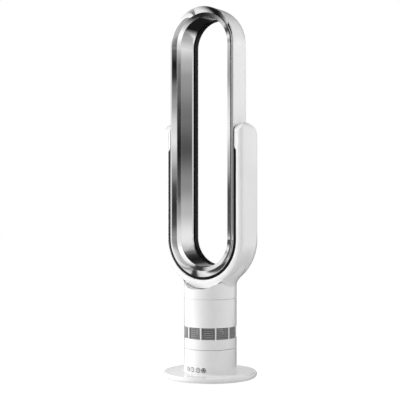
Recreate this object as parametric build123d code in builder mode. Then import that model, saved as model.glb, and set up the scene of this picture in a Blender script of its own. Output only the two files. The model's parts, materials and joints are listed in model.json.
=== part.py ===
"""A free-standing tower fan that blows through a tall hollow loop instead of visible blades.

The loop stands in a U-shaped cradle on a round column. The column draws air in through a
grille, and the part of it above the base swings from side to side. Front is -Y, up is +Z,
and the origin is on the floor under the centre of the base. All sizes are in millimetres.
"""
import os
from math import acos, cos, pi, radians, sin, tan

from build123d import *

os.makedirs("parts", exist_ok=True)

# Column, from the floor up
FOOT_HEIGHT = 2.0
PLATE_TOP = 16.0
HOUSING_TOP = 77.4
UPPER_BOTTOM = 78.6
INTAKE_LOW = 104.6
INTAKE_HIGH = 134.2
COLLAR_SEAM = 206.5
SHOULDER = 232.0
COLLAR_TOP = 260.0
PLATE_RADIUS = 121.0
BODY_RADIUS = 68.4
WALL = 2.6
BODY_BORE = BODY_RADIUS - WALL
SPIGOT_GAP = 0.1

# Loop: centres of its two half-round ends, and its wall measured out from them
ARCH_LOW = 359.8
ARCH_HIGH = 859.5
LOOP_EDGE = 98.4
LOOP_FRONT = -41.9
LOOP_WALL = 2.4
BACK_CENTRE = (40.0, 3.5)
BACK_RADIUS = 57.3
RIM_INNER = (83.4, -33.2)
THROAT_FRONT = (73.0, -29.8)
THROAT_BACK = (71.6, 18.0)
LIP_INNER = 70.5
LIP_FRONT = 30.8
LIP_BACK = 44.9

# Cradle
CRADLE_BORE = 100.3
CRADLE_WALL = 2.6
CRADLE_SPLIT = 12.0
CRADLE_NOSE = (105.4, -38.6)
CRADLE_STEP = -35.0
TIP_TOP = 657.0
TIP_CREST = -16.0
ARM_SIDE = 124.5
LINING_GAP = 0.05
LINING_FRONT = -41.0
CHEEK_OUTER = 586.0
CHEEK_INNER = 602.0
CHEEK_RADIUS = 18.0
DOME_HEIGHT = 20.0
MARGIN = 150.0

# Where the cradle sits on the column: a saddle seen from the front, and a dipping side seam
SADDLE = [(0.0, 231.8), (31.0, 235.4), (57.4, 252.6), (76.0, 270.0)]
SADDLE_GAP = 1.2
CRADLE_SEAT = ARM_SIDE + 0.4
NECK_FRONT = -38.5
NECK_BACK = 40.5
NECK_ROOT = 112.0
SEAM_CORNER = (-37.8, 252.4)
SEAM_ARC_END = (-9.9, 235.1)
SEAM_Y = 1.0

# Air duct through the neck
DUCT = (76.0, 40.0, 18.0)
DUCT_Y = -7.0
DUCT_LOW = 227.0
DUCT_HIGH = 284.0
DUCT_WALL = 2.0

# Swing drive
SWING_MODULE = 1.25
SWING_TEETH = 48
PINION_TEETH = 12
PRESSURE_ANGLE = 20.0
BACKLASH = 0.12
GEAR_LOW = 63.0
GEAR_HIGH = 69.0
PIVOT_RADIUS = 22.0
PIVOT_BORE = 16.0
RUNNING_GAP = 0.08
CHASSIS_LOW = 57.5
CHASSIS_HIGH = 60.5
TURNTABLE_LOW = 71.0
SWING_CENTRES = SWING_MODULE * (SWING_TEETH + PINION_TEETH) / 2

# Controls
BUTTON_RADIUS = 6.2
BUTTON_GAP = 0.35
BUTTON_HEIGHT = 27.0
BUTTON_FACE = BODY_RADIUS + 0.5
BUTTON_ANGLES = {"power": -20.3, "timer": -7.3, "swing": 7.3, "speed": 20.3}
INLET_HEIGHT = 29.0
INLET_SIZE = (22.0, 15.0)

# Grille
POSTS = 11
POST_WIDTH = 3.4
POST_PHASE = -3.0
LOUVRES = 6
INTAKE_CAP = 1.2
GRILLE_RADIUS = BODY_BORE - 0.05

# Fan set inside the column
SHAFT_RADIUS = 2.5
SHAFT_GAP = 0.05
BLADES = 9
VANES = 11
BLADE_THICKNESS = 1.3
BLADE_TWIST = 58.0
TIP_GAP = 0.8
# height, hub radius and blade tip radius of the impeller
IMPELLER_STATIONS = [
    (146.0, 15.0, 41.0),
    (152.5, 19.5, 44.5),
    (159.0, 25.5, 48.5),
    (165.5, 31.5, 52.0),
    (172.0, 36.0, 54.0),
]
BUCKET_WALL = 2.0
BUCKET_TOP = 212.0
MOTOR_RADIUS = 28.0
MOTOR_LOW = 175.0
MOTOR_HIGH = 204.0

made = []


def finish(builder, name):
    """Label a finished piece and write it."""
    builder.part.label = name
    export_step(builder.part, f"parts/{name}.step")
    made.append(name)


def tube(outer, inner, low, high, mode=Mode.ADD):
    """A straight round tube standing on the column's axis."""
    with BuildSketch(Plane.XY.offset(low)) as profile:
        Circle(outer)
        Circle(inner, mode=Mode.SUBTRACT)
    extrude(profile.sketch, amount=high - low, mode=mode)


def disc(radius, low, high, mode=Mode.ADD):
    """A straight round disc on the column's axis."""
    with BuildSketch(Plane.XY.offset(low)) as profile:
        Circle(radius)
    extrude(profile.sketch, amount=high - low, mode=mode)


def ring_of_pins(pitch_radius, count, radius, low, high, mode=Mode.ADD, start=0.0):
    """Upright round pins, or holes, spaced evenly on a circle."""
    with BuildSketch(Plane.XY.offset(low)) as profile:
        with PolarLocations(pitch_radius, count, start_angle=start):
            Circle(radius)
    extrude(profile.sketch, amount=high - low, mode=mode)


def turned(points, mode=Mode.ADD):
    """A piece turned about the column's axis from the corners of its half section."""
    with BuildSketch(Plane.XZ) as profile:
        with BuildLine():
            Polyline(*points, close=True)
        make_face()
    revolve(profile.sketch, axis=Axis.Z, mode=mode)


def radial_plane(angle, distance, height):
    """A plane facing outwards at an angle counted from the front, towards +X."""
    outwards = (sin(radians(angle)), -cos(radians(angle)), 0)
    origin = (outwards[0] * distance, outwards[1] * distance, height)
    return Plane(origin=origin, x_dir=(-outwards[1], outwards[0], 0), z_dir=outwards)


# ---------------------------------------------------------------- base

with BuildPart() as base_plate:
    with BuildSketch(Plane.XZ):
        with BuildLine():
            Line((0, PLATE_TOP), (117.4, PLATE_TOP))
            ThreePointArc((117.4, PLATE_TOP), (118.9, 15.4), (119.8, 14.0))
            ThreePointArc((119.8, 14.0), (PLATE_RADIUS, 8.6), (117.6, FOOT_HEIGHT + 0.4))
            Polyline((117.6, FOOT_HEIGHT + 0.4), (114.4, FOOT_HEIGHT + 0.4), (114.4, 11.0))
            Polyline((114.4, 11.0), (112.4, 13.0), (0, 13.0), (0, PLATE_TOP))
        make_face()
    revolve(axis=Axis.Z)
    ring_of_pins(84.0, 6, 4.2, 4.4, 13.2, start=30)
    ring_of_pins(84.0, 6, 1.6, 4.0, 12.0, mode=Mode.SUBTRACT, start=30)
finish(base_plate, "base_plate")

with BuildPart() as bottom_cover:
    disc(114.0, FOOT_HEIGHT, FOOT_HEIGHT + 2.2)
    tube(36.0, 33.0, FOOT_HEIGHT, FOOT_HEIGHT + 0.8, mode=Mode.SUBTRACT)
    ring_of_pins(98.0, 6, 8.2, FOOT_HEIGHT, FOOT_HEIGHT + 0.7, mode=Mode.SUBTRACT)
    ring_of_pins(84.0, 6, 3.4, FOOT_HEIGHT, FOOT_HEIGHT + 1.4, mode=Mode.SUBTRACT, start=30)
    ring_of_pins(84.0, 6, 1.8, FOOT_HEIGHT, FOOT_HEIGHT + 3.0, mode=Mode.SUBTRACT, start=30)
finish(bottom_cover, "bottom_cover")

with BuildPart() as foot_pads:
    ring_of_pins(98.0, 6, 8.0, 0, FOOT_HEIGHT + 0.7)
    chamfer(foot_pads.edges().group_by(Axis.Z)[0], 0.6)
finish(foot_pads, "foot_pads")

with BuildPart() as ballast_ring:
    tube(108.0, 56.0, 5.0, 12.4)
    ring_of_pins(84.0, 6, 5.2, 4.0, 13.0, mode=Mode.SUBTRACT, start=30)
finish(ballast_ring, "ballast_ring")

with BuildPart() as base_screws:
    ring_of_pins(84.0, 6, 3.0, FOOT_HEIGHT + 0.2, FOOT_HEIGHT + 1.4, start=30)
    ring_of_pins(84.0, 6, 1.5, FOOT_HEIGHT + 1.4, 11.5, start=30)
finish(base_screws, "base_screws")

with BuildPart() as lower_housing:
    foot_flare = 1.3
    turned([
        (BODY_BORE, PLATE_TOP), (BODY_RADIUS + foot_flare, PLATE_TOP),
        (BODY_RADIUS + foot_flare, PLATE_TOP + 1.2), (BODY_RADIUS, PLATE_TOP + 3.4),
        (BODY_RADIUS, HOUSING_TOP - 0.6), (BODY_RADIUS - 0.6, HOUSING_TOP),
        (BODY_BORE, HOUSING_TOP),
    ])
    tube(BODY_BORE + 0.2, 58.0, PLATE_TOP, PLATE_TOP + 2.4)
    tube(BODY_BORE + 0.2, 61.0, CHASSIS_LOW - 3.0, CHASSIS_LOW)
    for angle in BUTTON_ANGLES.values():
        with BuildSketch(radial_plane(angle, BODY_BORE - 6, BUTTON_HEIGHT)):
            Circle(BUTTON_RADIUS + BUTTON_GAP)
        extrude(amount=WALL + 10, mode=Mode.SUBTRACT)
    with BuildSketch(radial_plane(180, BODY_BORE - 8, INLET_HEIGHT)):
        RectangleRounded(*INLET_SIZE, 2.5)
    extrude(amount=WALL + 12, mode=Mode.SUBTRACT)
finish(lower_housing, "lower_housing")

for button_name, button_angle in BUTTON_ANGLES.items():
    with BuildPart() as button:
        with BuildSketch(radial_plane(button_angle, 62.9, BUTTON_HEIGHT)):
            Circle(BUTTON_RADIUS + 0.65)
        extrude(amount=1.8)
        with BuildSketch(radial_plane(button_angle, 62.9, BUTTON_HEIGHT)):
            Circle(BUTTON_RADIUS)
        extrude(amount=9.0)
        disc(BUTTON_FACE, 0, 2 * BUTTON_HEIGHT, mode=Mode.INTERSECT)
        with BuildSketch(radial_plane(button_angle, 62.0, BUTTON_HEIGHT)):
            Circle(BUTTON_RADIUS - 1.6)
        extrude(amount=3.2, mode=Mode.SUBTRACT)
        with BuildSketch(radial_plane(button_angle, 62.9, BUTTON_HEIGHT)):
            Circle(1.5)
        extrude(amount=4.0)
    finish(button, f"button_{button_name}")

with BuildPart() as control_board:
    with BuildSketch(Plane.XY.offset(PLATE_TOP + 2.4)):
        with BuildLine():
            CenterArc((0, 0), 59.0, 240, 60)
            Line((59.0 * cos(radians(300)), 59.0 * sin(radians(300))),
                 (57.6 * cos(radians(300)), 57.6 * sin(radians(300))))
            CenterArc((0, 0), 57.6, 300, -60)
            Line((57.6 * cos(radians(240)), 57.6 * sin(radians(240))),
                 (59.0 * cos(radians(240)), 59.0 * sin(radians(240))))
        make_face()
    extrude(amount=16)
finish(control_board, "control_board")

with BuildPart() as tact_switches:
    for angle in BUTTON_ANGLES.values():
        with BuildSketch(radial_plane(angle, 59.0, BUTTON_HEIGHT)):
            Rectangle(6, 6)
        extrude(amount=1.9)
        with BuildSketch(radial_plane(angle, 60.5, BUTTON_HEIGHT)):
            Circle(1.7)
        extrude(amount=1.1)
finish(tact_switches, "tact_switches")

with BuildPart() as power_inlet:
    with BuildSketch(radial_plane(180, 50.0, INLET_HEIGHT)):
        RectangleRounded(INLET_SIZE[0] - 0.6, INLET_SIZE[1] - 0.6, 2.2)
    extrude(amount=19.0)
    with BuildSketch(radial_plane(180, 62.0, INLET_HEIGHT)):
        RectangleRounded(INLET_SIZE[0] + 3.0, INLET_SIZE[1] + 3.0, 3.0)
    extrude(amount=2.6)
    with BuildSketch(radial_plane(180, 57.0, INLET_HEIGHT)):
        SlotOverall(17.2, 8.6)
    extrude(amount=14.0, mode=Mode.SUBTRACT)
    with BuildSketch(radial_plane(180, 49.0, INLET_HEIGHT)):
        with Locations((-4.3, 0), (4.3, 0)):
            Circle(1.15)
    extrude(amount=10.0, mode=Mode.SUBTRACT)
finish(power_inlet, "power_inlet")

with BuildPart() as inlet_pins:
    with BuildSketch(radial_plane(180, 48.0, INLET_HEIGHT)):
        with Locations((-4.3, 0), (4.3, 0)):
            Circle(1.15)
    extrude(amount=18.5)
finish(inlet_pins, "inlet_pins")

with BuildPart() as power_board:
    with BuildSketch(Plane.XY.offset(20.0)):
        with Locations((0, -8)):
            Rectangle(84, 58)
    extrude(amount=1.6)
    with BuildSketch(Plane.XY.offset(21.6)):
        with Locations((-20, -2)):
            RectangleRounded(26, 24, 2)
    extrude(amount=20)
    with BuildSketch(Plane.XY.offset(21.6)):
        with Locations((12, 4), (27, 4), (12, -14)):
            Circle(6.0)
    extrude(amount=17)
    with BuildSketch(Plane.XY.offset(21.6)):
        with Locations((30, -22)):
            Rectangle(12, 18)
    extrude(amount=12)
finish(power_board, "power_board")

with BuildPart() as board_posts:
    with BuildSketch(Plane.XY.offset(PLATE_TOP)):
        with Locations((-38, -33), (38, -33), (-38, 17), (38, 17)):
            Circle(3.0)
    extrude(amount=4.0)
finish(board_posts, "board_posts")

# ---------------------------------------------------------------- swing drive


def gear_outline(teeth, addendum, dedendum, turn=0.0):
    """Closed spur gear outline with involute flanks, thinned by the backlash."""
    pitch = SWING_MODULE * teeth / 2
    base = pitch * cos(radians(PRESSURE_ANGLE))
    root = pitch - dedendum
    tip = pitch + addendum
    pressure = radians(PRESSURE_ANGLE)
    half_pitch_angle = pi / (2 * teeth) - BACKLASH / (2 * pitch)
    half_base_angle = half_pitch_angle + tan(pressure) - pressure
    radii = [max(root, base), pitch, (pitch + tip) / 2, tip]
    flank = [(root, half_base_angle)] if root < base else []
    for radius in radii:
        roll = acos(min(1.0, base / radius))
        flank.append((radius, half_base_angle - (tan(roll) - roll)))
    points = []
    for tooth in range(teeth):
        centre = radians(turn) + 2 * pi * tooth / teeth
        for radius, half in flank:
            points.append((radius * cos(centre - half), radius * sin(centre - half)))
        for radius, half in reversed(flank):
            points.append((radius * cos(centre + half), radius * sin(centre + half)))
    with BuildLine() as outline:
        Polyline(*points, close=True)
    make_face(outline.edges())


with BuildPart() as chassis:
    disc(65.2, CHASSIS_LOW, CHASSIS_HIGH)
    disc(PIVOT_RADIUS, CHASSIS_HIGH, UPPER_BOTTOM)
    disc(PIVOT_BORE, CHASSIS_LOW, UPPER_BOTTOM, mode=Mode.SUBTRACT)
    with BuildSketch(Plane.XY.offset(CHASSIS_LOW)):
        with Locations((0, SWING_CENTRES)):
            Circle(5.2)
    extrude(amount=CHASSIS_HIGH - CHASSIS_LOW, mode=Mode.SUBTRACT)
    with BuildSketch(Plane.XY.offset(CHASSIS_LOW)):
        with PolarLocations(46.0, 3, start_angle=210):
            SlotOverall(16, 6)
    extrude(amount=CHASSIS_HIGH - CHASSIS_LOW, mode=Mode.SUBTRACT)
    ring_of_pins((PIVOT_RADIUS + PIVOT_BORE) / 2, 3, 1.0, UPPER_BOTTOM - 9, UPPER_BOTTOM,
                 mode=Mode.SUBTRACT)
finish(chassis, "chassis")

with BuildPart() as glide_ring:
    tube(59.0, 53.0, CHASSIS_HIGH, TURNTABLE_LOW - 0.1)
finish(glide_ring, "glide_ring")

with BuildPart() as swing_motor:
    with BuildSketch(Plane.XY.offset(38.0)):
        with Locations((0, SWING_CENTRES)):
            Circle(17.0)
    extrude(amount=CHASSIS_LOW - 38.0)
    with BuildSketch(Plane.XY.offset(CHASSIS_LOW)):
        with Locations((0, SWING_CENTRES)):
            Circle(5.0)
    extrude(amount=CHASSIS_HIGH + 0.6 - CHASSIS_LOW)
    with BuildSketch(Plane.XY.offset(CHASSIS_LOW - 2)):
        with Locations((-20.5, SWING_CENTRES), (20.5, SWING_CENTRES)):
            SlotOverall(12, 7)
    extrude(amount=2)
    with BuildSketch(Plane.XY.offset(42.0)):
        with Locations((0, SWING_CENTRES)):
            Circle(SHAFT_RADIUS + SHAFT_GAP)
    extrude(amount=30, mode=Mode.SUBTRACT)
finish(swing_motor, "swing_motor")

with BuildPart() as swing_shaft:
    with BuildSketch(Plane.XY.offset(42.3)):
        with Locations((0, SWING_CENTRES)):
            Circle(SHAFT_RADIUS)
    extrude(amount=GEAR_HIGH + 0.8 - 42.3)
finish(swing_shaft, "swing_shaft")

with BuildPart() as swing_pinion:
    with BuildSketch(Plane.XY.offset(GEAR_LOW).move(Location((0, SWING_CENTRES, 0)))):
        gear_outline(PINION_TEETH, 1.0 * SWING_MODULE, 0.95 * SWING_MODULE,
                     turn=180 / PINION_TEETH)
        Circle(SHAFT_RADIUS, mode=Mode.SUBTRACT)
    extrude(amount=GEAR_HIGH - GEAR_LOW)
finish(swing_pinion, "swing_pinion")

with BuildPart() as turntable:
    tube(BODY_BORE - 0.6, PIVOT_RADIUS + RUNNING_GAP, TURNTABLE_LOW, UPPER_BOTTOM)
    tube(BODY_BORE - 3.0, 32.0, TURNTABLE_LOW + 2.6, UPPER_BOTTOM, mode=Mode.SUBTRACT)
    for angle in range(0, 360, 45):
        with BuildSketch(radial_plane(angle, 31.0, (TURNTABLE_LOW + UPPER_BOTTOM) / 2)):
            Rectangle(2.0, UPPER_BOTTOM - TURNTABLE_LOW)
        extrude(amount=BODY_BORE - 33.0)
    with BuildSketch(Plane.XY.offset(GEAR_LOW)):
        gear_outline(SWING_TEETH, 0.7 * SWING_MODULE, 1.25 * SWING_MODULE)
        Circle(PIVOT_RADIUS + RUNNING_GAP, mode=Mode.SUBTRACT)
    extrude(amount=GEAR_HIGH - GEAR_LOW)
    tube(27.0, PIVOT_RADIUS + RUNNING_GAP, CHASSIS_HIGH + 0.3, TURNTABLE_LOW)
finish(turntable, "turntable")

with BuildPart() as swing_retainer:
    tube(28.0, PIVOT_BORE, UPPER_BOTTOM + 0.15, UPPER_BOTTOM + 2.15)
    tube(PIVOT_RADIUS - 0.5, PIVOT_BORE, UPPER_BOTTOM, UPPER_BOTTOM + 0.2)
    ring_of_pins((PIVOT_RADIUS + PIVOT_BORE) / 2, 3, 1.4, UPPER_BOTTOM, UPPER_BOTTOM + 3,
                 mode=Mode.SUBTRACT)
finish(swing_retainer, "swing_retainer")

with BuildPart() as retainer_screws:
    screw_circle = (PIVOT_RADIUS + PIVOT_BORE) / 2
    ring_of_pins(screw_circle, 3, 2.4, UPPER_BOTTOM + 2.15, UPPER_BOTTOM + 3.8)
    ring_of_pins(screw_circle, 3, 1.0, UPPER_BOTTOM - 8, UPPER_BOTTOM + 2.15)
finish(retainer_screws, "retainer_screws")

# ---------------------------------------------------------------- column above the seam

with BuildPart() as intake_frame:
    tube(BODY_RADIUS, BODY_BORE, UPPER_BOTTOM, INTAKE_HIGH)
    tube(BODY_BORE + 0.2, 40.0, UPPER_BOTTOM, UPPER_BOTTOM + 2.4)
    tube(BODY_RADIUS, 50.0, INTAKE_HIGH, INTAKE_HIGH + INTAKE_CAP)
    tube(BODY_BORE - SPIGOT_GAP, BODY_BORE - 2.4, INTAKE_HIGH, INTAKE_HIGH + 9.0)
    with BuildSketch(Plane.XY.offset(INTAKE_LOW)):
        Circle(BODY_RADIUS + 1)
        with PolarLocations(BODY_RADIUS, POSTS, start_angle=270 + POST_PHASE + 180 / POSTS):
            Rectangle(20, POST_WIDTH, mode=Mode.SUBTRACT)
    extrude(amount=INTAKE_HIGH - INTAKE_LOW, mode=Mode.SUBTRACT)
finish(intake_frame, "intake_frame")

with BuildPart() as intake_grille:
    louvre_pitch = (INTAKE_HIGH - INTAKE_LOW) / LOUVRES
    for louvre in range(LOUVRES):
        low = INTAKE_LOW + louvre * louvre_pitch + 0.7
        turned([(GRILLE_RADIUS, low), (GRILLE_RADIUS, low + 1.9),
                (GRILLE_RADIUS - 2.7, low + 4.2), (GRILLE_RADIUS - 2.7, low + 2.3)])
    tube(GRILLE_RADIUS, GRILLE_RADIUS - 2.7, INTAKE_LOW - 3.0, INTAKE_LOW)
    tube(GRILLE_RADIUS, GRILLE_RADIUS - 2.7, INTAKE_HIGH - 0.4, INTAKE_HIGH)
    with BuildSketch(Plane.XY.offset(INTAKE_LOW - 1.0)):
        with PolarLocations(GRILLE_RADIUS - 1.9, 4 * POSTS,
                            start_angle=270 + POST_PHASE + 180 / POSTS):
            Rectangle(1.8, 1.0)
    extrude(amount=INTAKE_HIGH - INTAKE_LOW + 0.8)
finish(intake_grille, "intake_grille")

with BuildPart() as body_shell:
    tube(BODY_RADIUS, BODY_BORE, INTAKE_HIGH + INTAKE_CAP, COLLAR_SEAM - 0.3)
    chamfer(body_shell.edges().group_by(Axis.Z)[-1].sort_by(SortBy.RADIUS)[-1], 0.35)
finish(body_shell, "body_shell")


def cut_round_room(radius):
    """Clear the round space about the loop's low centre, from front to back."""
    behind = Plane(origin=(0, 100, ARCH_LOW), x_dir=(1, 0, 0), z_dir=(0, -1, 0))
    with BuildSketch(behind) as round_room:
        Circle(radius)
    extrude(round_room.sketch, amount=200, mode=Mode.SUBTRACT)


def keep_above_seam():
    """Keep what is above the seam that dips at each side, between the cradle and the column."""
    rise = (SEAM_CORNER[1] - SEAM_ARC_END[1]) / (SEAM_ARC_END[0] - SEAM_CORNER[0])
    reach = 90.0
    top = SEAM_ARC_END[1] + rise * (reach + SEAM_ARC_END[0])
    with BuildSketch(Plane.YZ.offset(-150)) as side_view:
        with BuildLine():
            Line((-reach, top), SEAM_ARC_END)
            TangentArc(SEAM_ARC_END, (2 * SEAM_Y - SEAM_ARC_END[0], SEAM_ARC_END[1]),
                       tangent=(1, -rise))
            Polyline((2 * SEAM_Y - SEAM_ARC_END[0], SEAM_ARC_END[1]),
                     (2 * SEAM_Y + reach, top), (2 * SEAM_Y + reach, ARCH_LOW),
                     (-reach, ARCH_LOW), (-reach, top))
        make_face()
    extrude(side_view.sketch, amount=300, mode=Mode.INTERSECT)


def space_above_saddle(lift, mode):
    """Cut away, or keep, all that is above the saddle as seen from the front."""
    right = [(x, height + lift) for x, height in SADDLE]
    left = [(-x, height) for x, height in reversed(right[1:])]
    with BuildSketch(Plane.XZ.offset(-150)) as front_view:
        with BuildLine():
            Spline(*left, *right)
            Polyline(right[-1], (150, right[-1][1]), (150, ARCH_LOW), (-150, ARCH_LOW),
                     (-150, right[-1][1]), left[0])
        make_face()
    extrude(front_view.sketch, amount=300, mode=mode)


with BuildPart() as collar_room:
    disc(BODY_BORE, COLLAR_SEAM - 10, COLLAR_TOP)
    space_above_saddle(-WALL, Mode.SUBTRACT)
    cut_round_room(CRADLE_SEAT + WALL)

with BuildPart() as skirt_room:
    tube(BODY_RADIUS + 20, BODY_BORE, SHOULDER - 1, COLLAR_TOP + 10)
    keep_above_seam()

with BuildPart() as collar:
    disc(BODY_RADIUS, COLLAR_SEAM + 0.3, COLLAR_TOP)
    space_above_saddle(0, Mode.SUBTRACT)
    cut_round_room(CRADLE_SEAT)
    add(collar_room.part, mode=Mode.SUBTRACT)
    add(skirt_room.part, mode=Mode.SUBTRACT)
    tube(BODY_BORE - SPIGOT_GAP, BODY_BORE - 2.4, COLLAR_SEAM - 8, COLLAR_SEAM + 6)
    tube(BODY_BORE + 0.2, BODY_BORE - 2.4, COLLAR_SEAM + 0.3, COLLAR_SEAM + 3)
    with BuildSketch(Plane.XY.offset(DUCT_LOW - 2)):
        with Locations((0, DUCT_Y)):
            RectangleRounded(*DUCT)
    extrude(amount=30, mode=Mode.SUBTRACT)
    rims = collar.edges().filter_by(GeomType.CIRCLE).filter_by(lambda rim: rim.radius > BODY_BORE + 1)
    chamfer(rims.sort_by(Axis.Z)[0], 0.35)
finish(collar, "collar")

# ---------------------------------------------------------------- fan set


def shroud_points(offset):
    """Blade tip line of the impeller, moved outwards."""
    return [(tip + offset, height) for height, hub, tip in IMPELLER_STATIONS]


with BuildPart() as motor_bucket:
    mouth_low = 139.0
    turned([
        (BODY_BORE - 2.8, mouth_low), (47.5, mouth_low), (43.5, 141.5),
        *shroud_points(TIP_GAP), (56.0, 178.0), (57.0, BUCKET_TOP),
        (57.0 + BUCKET_WALL, BUCKET_TOP), (56.0 + BUCKET_WALL, 178.0),
        *reversed(shroud_points(TIP_GAP + BUCKET_WALL)), (45.6, 142.0),
        (48.5, mouth_low + BUCKET_WALL), (BODY_BORE - 2.8, mouth_low + BUCKET_WALL),
    ])
finish(motor_bucket, "motor_bucket")

with BuildPart() as bucket_seal:
    tube(BODY_BORE - 2.5, 57.5, mouth_low + BUCKET_WALL, mouth_low + BUCKET_WALL + 4)
    tube(BODY_BORE - 4.4, 59.3, mouth_low + BUCKET_WALL + 1.8, mouth_low + BUCKET_WALL + 5,
         mode=Mode.SUBTRACT)
finish(bucket_seal, "bucket_seal")

with BuildPart() as bucket_mounts:
    ring_of_pins(55.0, 4, 4.5, INTAKE_HIGH + INTAKE_CAP, mouth_low)
finish(bucket_mounts, "bucket_mounts")

with BuildPart() as impeller:
    hub_line = [(hub, height) for height, hub, tip in IMPELLER_STATIONS]
    turned([(SHAFT_RADIUS, hub_line[0][1]), *hub_line, (36.0, 173.6), (33.0, 173.6),
            (24.0, 165.5), (8.0, 160.0), (8.0, 170.0), (SHAFT_RADIUS, 170.0)])
    for blade in range(BLADES):
        for station, (height, hub, tip) in enumerate(IMPELLER_STATIONS):
            turn = 360 * blade / BLADES + BLADE_TWIST * station / (len(IMPELLER_STATIONS) - 1)
            with BuildSketch(Plane.XY.offset(height).rotated((0, 0, turn))):
                with Locations(((hub - 1 + tip) / 2, 0)):
                    Rectangle(tip - hub + 1, BLADE_THICKNESS)
        loft(ruled=True)
finish(impeller, "impeller")

with BuildPart() as impeller_nut:
    with BuildSketch(Plane.XY.offset(141.5)):
        RegularPolygon(5.5, 6)
        Circle(SHAFT_RADIUS, mode=Mode.SUBTRACT)
    extrude(amount=4.5)
finish(impeller_nut, "impeller_nut")

with BuildPart() as motor_shaft:
    disc(SHAFT_RADIUS, 140.5, MOTOR_HIGH - 1.0)
    chamfer(motor_shaft.edges(), 0.4)
finish(motor_shaft, "motor_shaft")

with BuildPart() as motor_rotor:
    tube(16.0, SHAFT_RADIUS, MOTOR_LOW + 7.5, MOTOR_HIGH - 7.5)
    tube(6.0, SHAFT_RADIUS, MOTOR_LOW + 6.3, MOTOR_HIGH - 6.3)
finish(motor_rotor, "motor_rotor")

with BuildPart() as motor_bearings:
    for low in (MOTOR_LOW + 1.8, MOTOR_HIGH - 5.8):
        tube(6.5, SHAFT_RADIUS + SHAFT_GAP, low, low + 4)
finish(motor_bearings, "motor_bearings")

with BuildPart() as motor_stator:
    tube(MOTOR_RADIUS - 2.4, 16.6, MOTOR_LOW + 8, MOTOR_HIGH - 8)
    ring_of_pins(0.5 * (MOTOR_RADIUS - 2.4 + 16.6), 12, 2.2, MOTOR_LOW + 4.5, MOTOR_HIGH - 4.5)
finish(motor_stator, "motor_stator")

with BuildPart() as motor_can:
    tube(MOTOR_RADIUS, MOTOR_RADIUS - 2.2, MOTOR_LOW, MOTOR_HIGH)
    tube(MOTOR_RADIUS - 1, 3.6, MOTOR_LOW, MOTOR_LOW + 1.8)
    tube(9.0, 6.5, MOTOR_LOW, MOTOR_LOW + 6)
    tube(MOTOR_RADIUS - 1, 3.6, MOTOR_HIGH - 1.8, MOTOR_HIGH)
    tube(9.0, 6.5, MOTOR_HIGH - 6, MOTOR_HIGH)
finish(motor_can, "motor_can")

with BuildPart() as tail_cone:
    dome = [(MOTOR_RADIUS, MOTOR_HIGH), (26.4, 210.0), (21.5, 215.4), (13.0, 219.4), (0, 221.0)]
    dome_wall = [(0, 219.0), (12.4, 217.5), (20.0, 213.8), (24.4, 209.0),
                 (MOTOR_RADIUS - 2, MOTOR_HIGH)]
    turned(dome + dome_wall)
finish(tail_cone, "tail_cone")

with BuildPart() as diffuser:
    vane_low, vane_high = 180.0, 198.0
    tube(MOTOR_RADIUS + 2.0, MOTOR_RADIUS, vane_low, vane_high)
    turned([(54.4, vane_low), (56.05, vane_low), (56.57, vane_high), (54.4, vane_high)])
    for vane in range(VANES):
        for height, lean in ((vane_low, -16), (0.5 * (vane_low + vane_high), -5), (vane_high, 0)):
            turn = 360 * vane / VANES + lean
            with BuildSketch(Plane.XY.offset(height).rotated((0, 0, turn))):
                with Locations((42.2, 0)):
                    Rectangle(25.6, 1.4)
        loft(ruled=True)
finish(diffuser, "diffuser")

with BuildPart() as driver_board:
    with BuildSketch(Plane.XY.offset(88.0)):
        with Locations((0, -4)):
            Rectangle(78, 46)
    extrude(amount=1.6)
    with BuildSketch(Plane.XY.offset(89.6)):
        with GridLocations(16, 22, 3, 1):
            Rectangle(9, 12)
    extrude(amount=5)
    with BuildSketch(Plane.XY.offset(UPPER_BOTTOM + 2.4)):
        with Locations((-34, -22), (34, -22), (-34, 14), (34, 14)):
            Circle(2.8)
    extrude(amount=88.0 - UPPER_BOTTOM - 2.4)
finish(driver_board, "driver_board")

# ---------------------------------------------------------------- loop


def carry_round(draw_section, low_only=False, height=ARCH_HIGH):
    """Carry a wall section along both legs and round the half-round ends of the loop."""
    with BuildSketch(Plane.XY.offset(ARCH_LOW)) as section:
        draw_section()
    extrude(section.sketch, amount=height - ARCH_LOW)
    mirror(about=Plane.YZ)
    revolve(section.sketch, axis=Axis((0, 0, ARCH_LOW), (0, 1, 0)), revolution_arc=180)
    if not low_only:
        with BuildSketch(Plane.XY.offset(ARCH_HIGH)) as top_section:
            draw_section()
        revolve(top_section.sketch, axis=Axis((0, 0, ARCH_HIGH), (0, -1, 0)),
                revolution_arc=180)


def on_back_arc(radius, angle):
    """A point of the loop's rounded back, in the wall section."""
    return (BACK_CENTRE[0] + radius * cos(radians(angle)),
            BACK_CENTRE[1] + radius * sin(radians(angle)))


def cut_air_port():
    """Opening for the air duct through a wall at the bottom of the loop."""
    with BuildSketch(Plane.XY.offset(DUCT_LOW)) as port:
        with Locations((0, DUCT_Y)):
            RectangleRounded(*DUCT)
    extrude(port.sketch, amount=DUCT_HIGH - DUCT_LOW, mode=Mode.SUBTRACT)


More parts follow.
